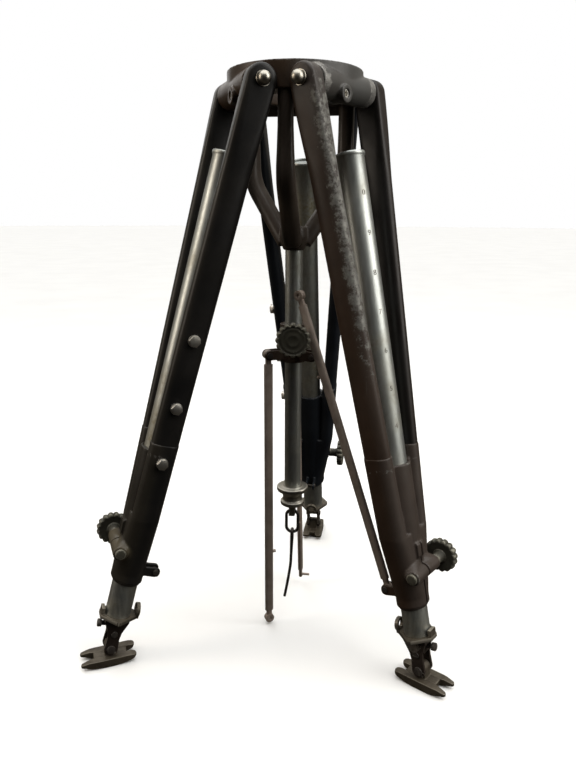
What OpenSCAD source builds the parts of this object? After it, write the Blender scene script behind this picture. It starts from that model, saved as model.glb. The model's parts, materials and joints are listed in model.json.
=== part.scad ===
// Three-legged studio stand with a ring head, a centre column and a leg spreader.
// Frame: origin at the centre of the head's top face, +Z up, back leg towards +Y.
// A leg's own frame has its origin on its hinge axis, +X outward, +Y along the hinge axis
// and -Z down the leg, so a place on the leg is a distance down from the hinge.

/* [Stand] */
// Lean of the right, left and back leg from vertical
splay = [12, 15.6, 16.5]; // [7:0.1:24]
// Height from the hinge axes down to the foot pivots
stand_h = 756; // [750:1:1100]

/* [Head] */
// Outer radius of the head ring
ring_r = 88; // [86:0.5:92]
// Radius of the bore that takes the camera head
bore_r = 50; // [46:0.5:51]
// Height of the head ring
ring_h = 32; // [28:1:36]
// Distance of the leg hinge axes from the centre
hinge_r = 71; // [70.5:0.5:73]
// Depth of the leg hinge axes below the top face
hinge_drop = 24; // [23.5:0.5:26]
// Radius of the hinge bosses and of the eyes of the leg tubes
boss_r = 18.5; // [17:0.5:19]
// Radius of the hinge shafts
shaft_r = 9; // [7:0.5:11]
// Place of each drag screw along its hinge boss
drag_at = [-15, 17, -15]; // [-30:1:30]

/* [Cage] */
// Width of the three arms at the head and below the bend
arm_w = [20, 25]; // [14:1:25]
// Thickness of the three arms
arm_t = 22; // [14:1:22]
// Distance of the arms from the centre at the top
arm_out = 75; // [70:1:75]
// Angle through which each arm bends inward
arm_bend = 37; // [30:1:42]
// Depth of the underside of the hub
hub_low = 224; // [220:1:235]

/* [Column] */
// Outer radius of the centre column
column_r = 12; // [11:0.5:13]
// Depth of the lower end of the column tube
column_low = 574; // [560:1:620]

/* [Leg] */
// Distance of the outer tubes from the middle of the leg, at the hinge
tube_out = 69; // [67:0.5:69]
// Thickness of an outer tube along the hinge
tube_t = 23; // [20:0.5:24]
// Lean of each outer tube towards the middle of the leg
tube_lean = 4.18; // [4:0.02:4.4]
// Length of an outer tube
tube_len = 464; // [450:1:480]
// Wall of the tubes
wall = 2; // [1.5:0.5:3]
// Radius of the sliding inner tube
inner_r = 18; // [16:0.5:18]
// Distance from the hinge to the top of the inner tube
inner_top = 80; // [60:1:120]
// Distance from the hinge to the bottom of the sleeve
sleeve_low = 684; // [680:1:700]
// Distance from the hinge to the side screws
screw_at = [319, 411, 489]; // [300:1:520]
// Distance from the hinge to the clamp
clamp_at = 628; // [622:1:636]
// Distance from the hinge to the spreader bracket
bracket_at = 663; // [658:1:668]

/* [Foot] */
// Distance from the spur plate to the foot pivot
plate_up = 52; // [48:1:56]
// Height of the foot pivot above the ground
pivot_h = 24; // [23:1:27]
// Length of a runner in front of the pivot and behind it
runner_reach = [42, 35]; // [30:1:45]
// Width of one runner
runner_w = 12; // [10:0.5:13]

/* [Spreader] */
// Depth of the collar's strut pivots
lug_drop = 369; // [365:1:375]
// Distance of the strut pivots from the centre
lug_out = 38; // [36:1:40]
// Length of a strut from pivot to eye
strut_len = 424; // [415:1:424]
// Width and thickness of a strut
strut_w = 13; // [11:0.5:14]
strut_t = 8; // [7:0.5:8]
// Outward swing of the back strut
back_swing = 9; // [0:1:12]
// Place of the loose strut's free eye in the right leg's plane, from the column
loose_eye_out = 25; // [22:1:30]
// Sideways shift of the loose strut's free eye
loose_eye_side = -18.5; // [-19:0.5:-18]

/* [Knobs] */
// Radius of a hand knob
knob_r = 24; // [20:0.5:25]
// Thickness of a hand knob
knob_t = 12; // [10:1:14]
// Number of hollows around a knob
knob_lobes = 16; // [12:1:20]
// Direction of the collar's knob
collar_knob_az = 278; // [272:1:284]

/* [Hidden] */
$fn = 64;
SIDES = ["right", "left", "back"];
leg_az = [-30, 210, 90];
knob_side = [1, -1, -1];
LEGS = [0, 1, 2];
LEG_PARTS = ["hinge_shaft", "dome_nuts", "outer_tube_a", "outer_tube_b", "casting", "side_screws",
             "inner_tube", "spur_plate", "yoke", "yoke_pins", "claw_foot", "clamp_knob", "bracket_pin"];

// Running fit, gap between moving faces and overshoot of a cut
fit = 0.05;
gap = 0.4;
over = 1;

// Distance from the hinge to each foot pivot, for a level head on level ground
foot_at = [for (i = LEGS) stand_h / cos(splay[i])];
boss_half = tube_out - tube_t / 2 - boss_r * sin(tube_lean) - gap;
eye_face = tube_out + tube_t / 2;
stud_r = shaft_r - 4;
nut_r = 8;
dome_r = 7.6;
nut_flat = 4;
stud_up = 7;
notch_r = boss_r + 1.5;

drag_boss_r = 10.5;
drag_drop = 11;
drag_reach = 22;
drag_screw_r = 5;
drag_len = 12;

bend_r = 60;
bend_top = 113;
arm_end_r = 14;
hub_r = 19;
hub_h = 28;
column_top = hub_low - hub_h;

sleeve_r = 22.5;
casting_lip = 0.7;
saddle_at = 480;
lobe_end = 575;
sleeve_start = 668;
clamp_out = 22.6;
lug_half = 30;
clamp_lug_r = 10;
slit = 2;
clamp_screw_r = 4;
bracket_out = 38;
fork_gap = 9.2;
fork_ear = 3.6;
fork_r = 7;
pin_r = 2.5;

plate_r = 23;
plate_t = 5;
loop_out = 27;
loop_r = 10;
lock_up = 35;
lock_r = 3.5;
yoke_in = 8;
yoke_out = 12;
pivot_r = 4;

collar_r = 19;
collar_top = 326;
collar_low = 380;
collar_knob_drop = 340;
collar_boss_out = 34;
collar_wheel_out = 50;

tang_low = 622;
link_at = 615;
wire_r = 2.3;
link_w = 22.5;
link_h = 41;
hook_len = 114;
hook_r = 2.6;

brown = [0.33, 0.28, 0.24];
black = [0.14, 0.14, 0.15];
steel = [0.66, 0.65, 0.62];
bare = [0.45, 0.43, 0.38];
beige = [0.60, 0.55, 0.50];
olive = [0.36, 0.34, 0.27];
LEG_COLOUR = [brown, black, [0.13, 0.13, 0.17]];

// Puts its children in the plane of leg i, with +X outward
module in_plane(i) {
    rotate([0, 0, leg_az[i]]) children();
}

// Puts its children in the frame of leg i
module in_leg(i) {
    in_plane(i) translate([hinge_r, 0, -hinge_drop]) rotate([0, -splay[i], 0]) children();
}

// Puts its children at the foot pivot of leg i, level with the ground
module at_foot(i) {
    in_plane(i) translate([hinge_r + foot_at[i] * sin(splay[i]), 0, -hinge_drop - stand_h]) children();
}

// Puts its children in the frame of one outer tube, on side 1 or -1 of the leg
module in_tube(side) {
    translate([0, side * tube_out, 0]) rotate([-side * tube_lean, 0, 0]) children();
}

// Round bar along Y from y0 to y1
module bar_y(r, y0, y1) {
    translate([0, y0, 0]) rotate([-90, 0, 0]) cylinder(r = r, h = y1 - y0);
}

// Flat-oval outline, w wide along X and t thick along Y
module oval(w, t) {
    square([w - t, t], center = true);
    for (s = [-1, 1]) translate([s * (w - t) / 2, 0]) circle(d = t);
}

// Flat-oval bar hanging down from z0 to z1
module oval_bar(w, t, z0, z1) {
    translate([0, 0, z1]) linear_extrude(z0 - z1) oval(w, t);
}

// Scalloped hand wheel with its axis along Z, standing on z = 0
module wheel() {
    hollow_r = 3.2;
    difference() {
        cylinder(r = knob_r, h = knob_t);
        for (a = [0:knob_lobes - 1]) {
            rotate([0, 0, a * 360 / knob_lobes]) translate([knob_r + 1, 0, -over])
                cylinder(r = hollow_r, h = knob_t + 2 * over, $fn = 24);
        }
        translate([0, 0, knob_t - 1.5]) cylinder(r = knob_r - 5, h = 1.5 + over);
    }
}

// Two ears of a fork, gripping a strut eye at the origin, joined to a body at x = back
module fork(back) {
    for (s = [-1, 1]) translate([0, s * (fork_gap + fork_ear) / 2, 0]) {
        bar_y(fork_r, -fork_ear / 2, fork_ear / 2);
        translate([min(back, 0), -fork_ear / 2, -fork_r]) cube([abs(back), fork_ear, 2 * fork_r]);
    }
}

module fork_pin() {
    head_t = 1.5;
    half = fork_gap / 2 + fork_ear;
    bar_y(pin_r, -half - head_t, half + head_t);
    for (s = [-1, 1]) translate([0, s * (half + head_t / 2), 0]) bar_y(4.2, -head_t / 2, head_t / 2);
}

// ---- head ----

module eye_notch(side) {
    mirror([0, side < 0 ? 1 : 0, 0]) {
        bar_y(notch_r, boss_half, ring_r);
        translate([-notch_r, boss_half, -ring_h]) cube([2 * notch_r + ring_r, ring_r - boss_half, ring_h]);
    }
}

module head_ring() {
    color(brown) difference() {
        union() {
            translate([0, 0, -ring_h]) cylinder(r = ring_r, h = ring_h, $fn = 128);
            for (i = LEGS) in_plane(i) translate([hinge_r, 0, -hinge_drop]) {
                bar_y(boss_r, -boss_half, boss_half);
                translate([0, drag_at[i], -drag_drop]) rotate([0, 90, 0])
                    cylinder(r = drag_boss_r, h = drag_reach);
            }
        }
        translate([0, 0, -ring_h - boss_r]) cylinder(r = bore_r, h = ring_h + boss_r + over, $fn = 128);
        for (i = LEGS) in_plane(i) translate([hinge_r, 0, -hinge_drop]) {
            bar_y(shaft_r + fit, -boss_half - over, boss_half + over);
            for (side = [-1, 1]) eye_notch(side);
            translate([drag_reach - drag_len, drag_at[i], -drag_drop]) rotate([0, 90, 0])
                cylinder(r = drag_screw_r + fit, h = drag_len + over);
        }
    }
}

module drag_screws() {
    socket_r = 3.4;
    color(steel) for (i = LEGS) in_plane(i) {
        translate([hinge_r + drag_reach - drag_len, drag_at[i], -hinge_drop - drag_drop])
            rotate([0, 90, 0]) difference() {
                cylinder(r = drag_screw_r, h = drag_len - 2);
                translate([0, 0, drag_len - 7]) cylinder(r = socket_r, h = 5 + over, $fn = 6);
            }
    }
}

// Middle line of an arm in its own plane: straight down, then a bend towards the hub
function arm_path() = let (slant_x = arm_out - bend_r * (1 - cos(arm_bend)),
                           slant_z = -bend_top - bend_r * sin(arm_bend),
                           slant_len = (slant_x - arm_end_r) / sin(arm_bend))
    concat(
        [[arm_out, -ring_h, 0]],
        [for (a = [0:arm_bend / 6:arm_bend])
            [arm_out - bend_r * (1 - cos(a)), -bend_top - bend_r * sin(a), a]],
        [[arm_end_r, slant_z - slant_len * cos(arm_bend), arm_bend]]
    );

// The middle line moved sideways by d, outward where d is positive
function arm_edge(d) = [for (p = arm_path()) [p[0] + d * cos(p[2]), p[1] - d * sin(p[2])]];

// Front outline of an arm, which widens above the bend
function arm_front() = let (narrow_to = -60, wide_from = -140, h = arm_w / 2)
    [[-h[0], 0], [-h[0], narrow_to], [-h[1], wide_from], [-h[1], -hub_low - arm_t],
     [h[1], -hub_low - arm_t], [h[1], wide_from], [h[0], narrow_to], [h[0], 0]];

module cage_arm() {
    inner = arm_edge(-arm_t / 2);
    intersection() {
        rotate([90, 0, 0]) linear_extrude(arm_w[1] + over, center = true)
            polygon(concat(arm_edge(arm_t / 2), [for (k = [len(inner) - 1:-1:0]) inner[k]]));
        rotate([90, 0, 90]) linear_extrude(arm_out + arm_t) polygon(arm_front());
    }
}

module cage() {
    hub_taper = 14;
    color(brown) difference() {
        union() {
            for (i = LEGS) rotate([0, 0, leg_az[i] + 60]) cage_arm();
            translate([0, 0, -hub_low]) cylinder(r1 = column_r + 3, r2 = hub_r, h = hub_taper);
            translate([0, 0, -hub_low + hub_taper]) cylinder(r = hub_r, h = hub_h + 4 - hub_taper);
        }
        translate([0, 0, -hub_low - 3 * over]) cylinder(r = column_r, h = hub_h + 3 * over);
    }
}

// ---- centre column ----

module column_tube() {
    color(steel) translate([0, 0, -column_low]) difference() {
        cylinder(r = column_r, h = column_low - column_top);
        translate([0, 0, -over]) cylinder(r = column_r - wall, h = column_low - column_top + 2 * over);
    }
}

module column_foot() {
    flange_r = 23.5;
    waist_r = 14.5;
    lower_r = 18;
    tang = [9, 14];
    steps = [[0, 0], [flange_r - 2, 0], [flange_r, 3], [flange_r, 7], [waist_r, 15], [waist_r, 23],
             [lower_r, 25], [lower_r, 30], [8, 33], [0, 33]];
    color(steel) difference() {
        union() {
            translate([0, 0, -column_low]) rotate_extrude()
                polygon([for (p = steps) [p[0], -p[1]]]);
            translate([-tang[0] / 2, -tang[1] / 2, -tang_low])
                cube([tang[0], tang[1], tang_low - column_low - 30]);
        }
        translate([0, 0, -link_at]) rotate([0, 90, 0]) cylinder(r = 4.2, h = 2 * tang[0], center = true);
    }
}

// ---- legs ----

module hinge_shaft(i) {
    shoulder = tube_out - tube_t / 2 - 0.9;
    color(steel) in_leg(i) {
        bar_y(shaft_r, -shoulder, shoulder);
        bar_y(stud_r, -eye_face - stud_up, eye_face + stud_up);
    }
}

module dome_nuts(i) {
    color(steel) in_leg(i) for (s = [0, 1]) mirror([0, s, 0]) difference() {
        union() {
            bar_y(nut_r, eye_face, eye_face + nut_flat);
            translate([0, eye_face + nut_flat, 0]) sphere(r = dome_r);
        }
        bar_y(stud_r, eye_face - nut_r, eye_face + stud_up);
        translate([-nut_r, eye_face - 2 * nut_r, -nut_r]) cube(2 * nut_r);
    }
}

module outer_tube(i, side) {
    plug = 24;
    color(LEG_COLOUR[i]) in_leg(i) difference() {
        union() {
            in_tube(side) oval_bar(2 * boss_r, tube_t, 0, -tube_len);
            translate([0, side * tube_out, 0]) bar_y(boss_r, -tube_t / 2, tube_t / 2);
        }
        in_tube(side) oval_bar(2 * (boss_r - wall), tube_t - 2 * wall, -plug, -tube_len - over);
        translate([0, side * tube_out, 0]) bar_y(stud_r, -tube_t, tube_t);
        if (side > 0) side_screw_holes([screw_at[0], screw_at[1]]);
    }
}

// Where a side screw meets the outer face of the tube on side 1
module at_side_screw(s) {
    in_tube(1) translate([0, tube_t / 2, -s]) children();
}

module side_screw_holes(places) {
    for (s = places) at_side_screw(s) bar_y(clamp_screw_r, -8, over);
}

module side_screws(i) {
    across = 13;
    color(steel) in_leg(i) for (s = screw_at) {
        lift = s == screw_at[2] ? casting_lip : 0;
        at_side_screw(s) translate([0, lift, 0]) {
            bar_y(clamp_screw_r, -7, 1);
            rotate([-90, 0, 0]) cylinder(r = 8, h = 1.2);
            rotate([-90, 0, 0]) cylinder(r = across / sqrt(3), h = 6, $fn = 6);
        }
    }
}

// The two sockets of the casting that the outer tubes run into, from z0 to z1, fuller by more
module casting_lobes(z0, z1, more = 0) {
    wide = 2 * (boss_r + casting_lip + more);
    thick = tube_t + 2 * (casting_lip + more);
    for (side = [-1, 1]) in_tube(side) oval_bar(wide, thick, z0, z1);
}

module casting(i) {
    pin_hole = 14;
    web_half = [12, 23];
    hull_more = 0.15;
    color(LEG_COLOUR[i]) in_leg(i) difference() {
        union() {
            casting_lobes(-tube_len, -lobe_end - 0.5);
            translate([0, 0, -sleeve_low]) cylinder(r = sleeve_r, h = sleeve_low - saddle_at);
            translate([-web_half[0], -web_half[1], -lobe_end])
                cube([2 * web_half[0], 2 * web_half[1], lobe_end - saddle_at]);
            hull() {
                casting_lobes(-lobe_end, -lobe_end - 1, hull_more, $fn = 32);
                translate([0, 0, -sleeve_start]) cylinder(r = sleeve_r - 0.1, h = 1, $fn = 32);
            }
            translate([clamp_out, 0, -clamp_at]) bar_y(clamp_lug_r, -lug_half, lug_half);
            translate([-bracket_out, 0, -bracket_at]) fork(bracket_out - inner_r - 1);
        }
        translate([0, 0, -sleeve_low - over]) cylinder(r = inner_r + fit, h = sleeve_low - 400);
        translate([inner_r - 2, -slit / 2, -sleeve_low - over])
            cube([clamp_out, slit, sleeve_low - clamp_at + 36]);
        translate([clamp_out, 0, -clamp_at]) bar_y(clamp_screw_r + fit, -lug_half - over, lug_half + over);
        side_screw_holes([screw_at[2]]);
        translate([-bracket_out, 0, -bracket_at]) bar_y(pin_r, -pin_hole, pin_hole);
    }
}

module clamp_knob(i) {
    hub = 16;
    head_t = 3;
    color(olive) in_leg(i) translate([clamp_out, 0, -clamp_at]) mirror([0, knob_side[i] < 0 ? 1 : 0, 0]) {
        bar_y(clamp_screw_r, -lug_half - gap, lug_half + hub);
        bar_y(7.5, lug_half + gap, lug_half + hub);
        bar_y(7.5, -lug_half - gap - head_t, -lug_half - gap);
        translate([0, lug_half + hub, 0]) rotate([-90, 0, 0]) wheel();
    }
}

module inner_tube(i) {
    low = foot_at[i] - plate_up;
    color(steel) in_leg(i) difference() {
        union() {
            translate([0, 0, -low]) cylinder(r = inner_r, h = low - inner_top);
            translate([0, 0, -inner_top - 4]) cylinder(r = inner_r + 1.4, h = 4);
        }
        translate([0, 0, -low - over]) cylinder(r = inner_r - wall, h = low - inner_top - 3);
    }
}

// ---- feet ----

module spur_outline() {
    tip = 24;
    circle(r = plate_r - 2);
    for (v = [-tip, tip]) translate([1, v]) circle(r = 4);
    polygon([[-loop_out, -7], [-2, -tip - 3], [4, -tip - 3], [plate_r + 2, -8],
             [plate_r + 2, 8], [4, tip + 3], [-2, tip + 3], [-loop_out, 7]]);
}

module spur_plate(i) {
    loop_t = 5;
    loop_up = plate_t + 6;
    color(bare) in_leg(i) translate([0, 0, -foot_at[i] + plate_up - plate_t]) difference() {
        union() {
            linear_extrude(plate_t) spur_outline();
            translate([-loop_out, 0, loop_up]) rotate([0, 90, 0])
                cylinder(r = loop_r, h = loop_t, center = true);
            translate([-loop_out - loop_t / 2, 3 - loop_r, 0]) cube([loop_t, 2 * loop_r - 6, loop_up]);
            translate([plate_r - 3, -7, 0]) cube([4.5, 14, plate_t + 9]);
        }
        translate([-loop_out, 0, loop_up + 1]) rotate([0, 90, 0])
            cylinder(r = loop_r - 4.5, h = loop_t + 2 * over, center = true);
        translate([0, 0, -over]) cylinder(r = 8, h = plate_t + 2 * over);
    }
}

module yoke_side() {
    top = plate_up - plate_t;
    cheek = [[-9.3, 2], [-8.5, 16], [-10, 26], [-17, top - 5], [-17, top],
             [16, top], [16, top - 5], [9.5, 26], [8.5, 16], [9.3, 2]];
    rotate([90, 0, 0]) linear_extrude(yoke_out - yoke_in, center = true) {
        circle(r = 9.5);
        polygon(cheek);
    }
}

module yoke(i) {
    top = plate_up - plate_t;
    middle = (yoke_in + yoke_out) / 2;
    color(brown) in_leg(i) translate([0, 0, -foot_at[i]]) difference() {
        union() {
            for (s = [-1, 1]) translate([0, s * middle, 0]) yoke_side();
            translate([-17, -yoke_out, top - 6]) cube([34, 2 * yoke_out, 6]);
            translate([6, -yoke_in - 1, 26]) cube([5, 2 * yoke_in + 2, top - 28]);
        }
        bar_y(pivot_r + fit, -20, 20);
        translate([0, 0, 24]) bar_y(3 + fit, -20, 20);
        translate([0, 0, lock_up]) rotate([0, 90, 0]) cylinder(r = lock_r + fit, h = 20);
    }
}

module yoke_pins(i) {
    head_t = 2;
    lock_head = [5.5, 5];
    color(steel) in_leg(i) translate([0, 0, -foot_at[i]]) {
        for (p = [[0, pivot_r, 6], [24, 3, 4.5]]) translate([0, 0, p[0]]) {
            bar_y(p[1], -yoke_out - head_t, yoke_out + head_t);
            for (s = [-1, 1]) translate([0, s * (yoke_out + head_t / 2), 0])
                bar_y(p[2], -head_t / 2, head_t / 2);
        }
        translate([5, 0, lock_up]) rotate([0, 90, 0]) {
            cylinder(r = lock_r, h = 17);
            translate([0, 0, 15]) cylinder(r = lock_head[0], h = lock_head[1]);
        }
    }
}

// Side outline of a runner: flat top, rocker sole, blunt heel and a lower, blunt toe
function runner_side() = let (top = -pivot_h + 12.5, toe = runner_reach[0], heel = runner_reach[1])
    concat(
        [[-heel, top - 1], [-heel, top - 5]],
        [for (k = [1:11]) let (x = -heel + k * (toe + heel) / 12, d = (x - 3) / (toe + heel) * 2)
            [x, -pivot_h + 7 * pow(abs(d), 2.4)]],
        [[toe, top - 6.5], [toe, top - 2.5], [toe - 12, top], [-heel + 8, top]]
    );

// Plan outline of a runner: round heel, straight sides and a tapered, blunt toe
module runner_plan() {
    toe = runner_reach[0];
    heel = runner_reach[1];
    half = runner_w / 2;
    toe_r = 3.5;
    translate([-heel + half, 0]) circle(r = half);
    translate([toe - toe_r, 1]) circle(r = toe_r);
    polygon([[-heel + half, -half], [toe - 22, -half], [toe - toe_r, 1 - toe_r],
             [toe - toe_r, 1 + toe_r], [toe - 18, half], [-heel + half, half]]);
}

module runner() {
    intersection() {
        rotate([90, 0, 0]) linear_extrude(2 * runner_w, center = true) polygon(runner_side());
        translate([0, 0, -pivot_h - over]) linear_extrude(pivot_h) runner_plan();
    }
}

module claw_foot(i) {
    half = yoke_in - gap;
    runner_mid = 6 + runner_w / 2;
    color(bare) at_foot(i) difference() {
        union() {
            for (s = [0, 1]) mirror([0, s, 0]) translate([0, runner_mid, 0]) runner();
            bar_y(8.5, -half, half);
            translate([-8.5, -half, -pivot_h + 4]) cube([17, 2 * half, pivot_h - 4]);
            translate([-22, -runner_mid, -pivot_h + 3.5]) cube([46, 2 * runner_mid, 8]);
        }
        bar_y(pivot_r + fit, -half - over, half + over);
    }
}

// ---- spreader ----

module collar() {
    color(brown) difference() {
        union() {
            translate([0, 0, -collar_low]) cylinder(r = collar_r, h = collar_low - collar_top);
            for (i = LEGS) in_plane(i) translate([lug_out, 0, -lug_drop]) fork(column_r + 3 - lug_out);
            rotate([0, 0, collar_knob_az]) translate([column_r + 2, 0, -collar_knob_drop]) rotate([0, 90, 0])
                cylinder(r = 9, h = collar_boss_out - column_r - 2);
        }
        translate([0, 0, -collar_low - over])
            cylinder(r = column_r + fit, h = collar_low - collar_top + 2 * over);
        rotate([0, 0, collar_knob_az]) translate([0, 0, -collar_knob_drop]) rotate([0, 90, 0])
            cylinder(r = clamp_screw_r + fit, h = collar_boss_out + over);
        for (i = LEGS) in_plane(i) translate([lug_out, 0, -lug_drop]) bar_y(pin_r, -15, 15);
    }
}

module collar_pins() {
    color(steel) for (i = LEGS) in_plane(i) translate([lug_out, 0, -lug_drop]) fork_pin();
}

module collar_knob() {
    tip = column_r + 1;
    color(olive) rotate([0, 0, collar_knob_az]) translate([0, 0, -collar_knob_drop]) rotate([0, 90, 0]) {
        translate([0, 0, tip]) cylinder(r = clamp_screw_r, h = collar_wheel_out - tip + 1);
        translate([0, 0, collar_boss_out + gap]) cylinder(r = 7, h = collar_wheel_out - collar_boss_out);
        translate([0, 0, collar_wheel_out]) wheel();
    }
}

module bracket_pin(i) {
    color(steel) in_leg(i) translate([-bracket_out, 0, -bracket_at]) fork_pin();
}

// Strut hanging from a pivot at the origin, with its keeper peg on the inner edge.
// Its far end is an eye, or a stub with a side pin.
module strut(stub = false) {
    neck = 14;
    peg_at = 0.73;
    stub_r = 3;
    stub_pin = [2, 15];
    hole_r = pin_r + 0.35;
    bar_low = -strut_len + neck;
    color(beige) difference() {
        union() {
            oval_bar(strut_w, strut_t, -neck, bar_low);
            oval_bar(strut_w - 4, strut_t - 1, 0, bar_low - (stub ? 0 : neck));
            bar_y(7, -strut_t / 2, strut_t / 2);
            if (stub) translate([0, 0, -strut_len - 3]) {
                cylinder(r = stub_r, h = neck + 5);
                translate([0, 0, stub_r + 2]) bar_y(stub_pin[0], -stub_pin[1], 0);
            }
            if (!stub) translate([0, 0, -strut_len]) bar_y(7, -strut_t / 2, strut_t / 2);
            translate([-strut_w / 2 - 4, 0, -strut_len * peg_at]) rotate([0, 90, 0]) cylinder(r = 2.4, h = 6);
        }
        bar_y(hole_r, -strut_t, strut_t);
        if (!stub) translate([0, 0, -strut_len]) bar_y(3, -strut_t, strut_t);
    }
}

module strut_left() {
    in_plane(1) translate([lug_out, 0, -lug_drop]) strut();
}

module strut_back() {
    in_plane(2) translate([lug_out, 0, -lug_drop]) rotate([0, -back_swing, 0]) strut(stub = true);
}

// The loose strut stands on the right leg's bracket, so it is drawn upside down
module strut_loose() {
    low = [hinge_r + bracket_at * sin(splay[0]) - bracket_out * cos(splay[0]), 0,
           -hinge_drop - bracket_at * cos(splay[0]) - bracket_out * sin(splay[0])];
    across = asin(loose_eye_side / strut_len);
    lean = asin((low[0] - loose_eye_out) / (strut_len * cos(across)));
    in_plane(0) translate(low) rotate([0, -lean, 0]) rotate([-across, 0, 0])
        rotate([180, 0, 0]) strut();
}

// ---- link and hook ----

module link() {
    half_w = link_w / 2 - wire_r;
    half_h = link_h / 2 - wire_r;
    side = half_h - half_w;
    color(steel) translate([0, 0, -link_at - half_h]) {
        for (s = [0, 1]) mirror([0, 0, s]) translate([0, 0, side]) rotate([90, 0, 0])
            rotate_extrude(angle = 180) translate([half_w, 0]) circle(r = wire_r, $fn = 32);
        for (s = [-1, 1]) translate([s * half_w, 0, -side]) cylinder(r = wire_r, h = 2 * side, $fn = 32);
    }
}

module hook() {
    eye_r = 6.5;
    eye_t = 4.6;
    low = link_at + link_h - 2 * wire_r;
    half = hook_len / 2;
    tilt = [2, 8];
    color(bare) translate([0, 0, -low]) difference() {
        union() {
            rotate([0, 90, 0]) cylinder(r = eye_r, h = eye_t, center = true);
            rotate([0, tilt[0], 0]) translate([0, 0, -half]) cylinder(r = hook_r, h = half - 3);
            rotate([0, tilt[0], 0]) translate([0, 0, -half + 2]) rotate([0, tilt[1] - tilt[0], 0])
                translate([0, 0, -half - 2]) cylinder(r = hook_r - 0.3, h = half + 2);
        }
        rotate([0, 90, 0]) cylinder(r = wire_r + 1, h = 2 * eye_t, center = true);
    }
}

head_ring();
drag_screws();
cage();
column_tube();
column_foot();
for (i = LEGS) {
    side = SIDES[i];
    hinge_shaft(i);
    dome_nuts(i);
    outer_tube(i, 1);
    outer_tube(i, -1);
    casting(i);
    side_screws(i);
    inner_tube(i);
    spur_plate(i);
    yoke(i);
    yoke_pins(i);
    claw_foot(i);
    clamp_knob(i);
    bracket_pin(i);
}
collar();
collar_pins();
collar_knob();
strut_left();
strut_back();
strut_loose();
link();
hook();
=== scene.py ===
"""Looks of the studio tripod: cast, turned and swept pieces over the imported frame, with worn finishes."""
import json
import math

import bmesh
import bpy
from mathutils import Matrix, Vector


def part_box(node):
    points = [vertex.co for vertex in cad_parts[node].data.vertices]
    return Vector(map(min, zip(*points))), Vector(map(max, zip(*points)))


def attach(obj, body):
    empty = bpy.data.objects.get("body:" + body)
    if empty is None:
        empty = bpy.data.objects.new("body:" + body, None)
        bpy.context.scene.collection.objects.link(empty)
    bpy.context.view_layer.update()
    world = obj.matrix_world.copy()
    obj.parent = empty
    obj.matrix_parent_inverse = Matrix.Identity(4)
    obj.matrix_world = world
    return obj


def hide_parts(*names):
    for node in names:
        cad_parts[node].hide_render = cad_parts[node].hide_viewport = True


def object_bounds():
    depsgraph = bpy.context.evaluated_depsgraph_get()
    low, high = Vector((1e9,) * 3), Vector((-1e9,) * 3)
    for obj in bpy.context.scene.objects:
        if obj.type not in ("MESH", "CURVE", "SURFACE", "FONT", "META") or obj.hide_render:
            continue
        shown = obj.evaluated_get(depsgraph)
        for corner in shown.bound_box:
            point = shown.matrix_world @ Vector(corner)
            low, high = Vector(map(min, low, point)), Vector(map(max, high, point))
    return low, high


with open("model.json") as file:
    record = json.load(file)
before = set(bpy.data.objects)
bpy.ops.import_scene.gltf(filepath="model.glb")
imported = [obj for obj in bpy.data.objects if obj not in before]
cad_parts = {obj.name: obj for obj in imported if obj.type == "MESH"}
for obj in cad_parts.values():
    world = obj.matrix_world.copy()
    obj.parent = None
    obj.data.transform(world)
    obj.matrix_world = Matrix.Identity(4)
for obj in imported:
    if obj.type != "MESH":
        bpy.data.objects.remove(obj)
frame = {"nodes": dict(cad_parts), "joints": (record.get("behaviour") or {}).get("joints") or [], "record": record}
CAD_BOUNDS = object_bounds()
NODES = frame["nodes"]
JOINTS = {j["name"]: j for j in frame["joints"]}
SIDES = ("right", "left", "back")
MM = 0.001

# ---- driving dimensions, in metres, as the frame has them ----

BOSS_R = 18.5 * MM
TUBE_OUT = 69 * MM
TUBE_T = 23 * MM
TUBE_LEAN = math.radians(4.18)
TUBE_LEN = 464 * MM
INNER_R = 18 * MM
INNER_TOP = 80 * MM
CLAMP_OUT = 22.6 * MM
CLAMP_AT = 628 * MM
PLATE_UP = 52 * MM
SLEEVE_LOW = 684 * MM
SLEEVE_R = 22.5 * MM
SADDLE_AT = 480 * MM
LUG_HALF = 30 * MM
KNOB_LOBES = 16
COLLAR_KNOB_AZ = math.radians(278)
COLLAR_KNOB_DROP = 340 * MM
RING_H = 32 * MM
ARM_OUT = 75 * MM
ARM_BEND = math.radians(37)
BEND_R = 60 * MM
BEND_TOP = 113 * MM
ARM_END_R = 14 * MM
HUB_R = 19 * MM
HUB_LOW = 224 * MM
HUB_H = 32 * MM
FLOOR_Z = CAD_BOUNDS[0][2]


# ---- camera ----

def add_camera():
    """Camera at the photograph's viewing angle, a little below the head and looking down."""
    azimuth = math.radians(8.5)
    pan = math.radians(-0.46)
    pitch = math.radians(14.78)
    roll = math.radians(-0.26)
    distance = 0.9186
    height = -0.173
    sensor = 36.0
    data = bpy.data.cameras.new("camera")
    data.sensor_fit = "AUTO"
    data.sensor_width = sensor
    data.lens = 30.6
    data.clip_start = 0.01
    cam = bpy.data.objects.new("camera", data)
    bpy.context.scene.collection.objects.link(cam)
    turn = Matrix.Rotation(azimuth - pan, 4, "Z")
    tip = Matrix.Rotation(math.pi / 2 - pitch, 4, "X")
    spin = Matrix.Rotation(-roll, 4, "Z")
    place = Matrix.Translation((distance * math.sin(azimuth), -distance * math.cos(azimuth), height))
    cam.matrix_world = place @ turn @ tip @ spin
    bpy.context.scene.camera = cam


add_camera()


# ---- mesh helpers ----

def new_object(name, mesh):
    obj = bpy.data.objects.new(name, mesh)
    bpy.context.scene.collection.objects.link(obj)
    return obj


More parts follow.
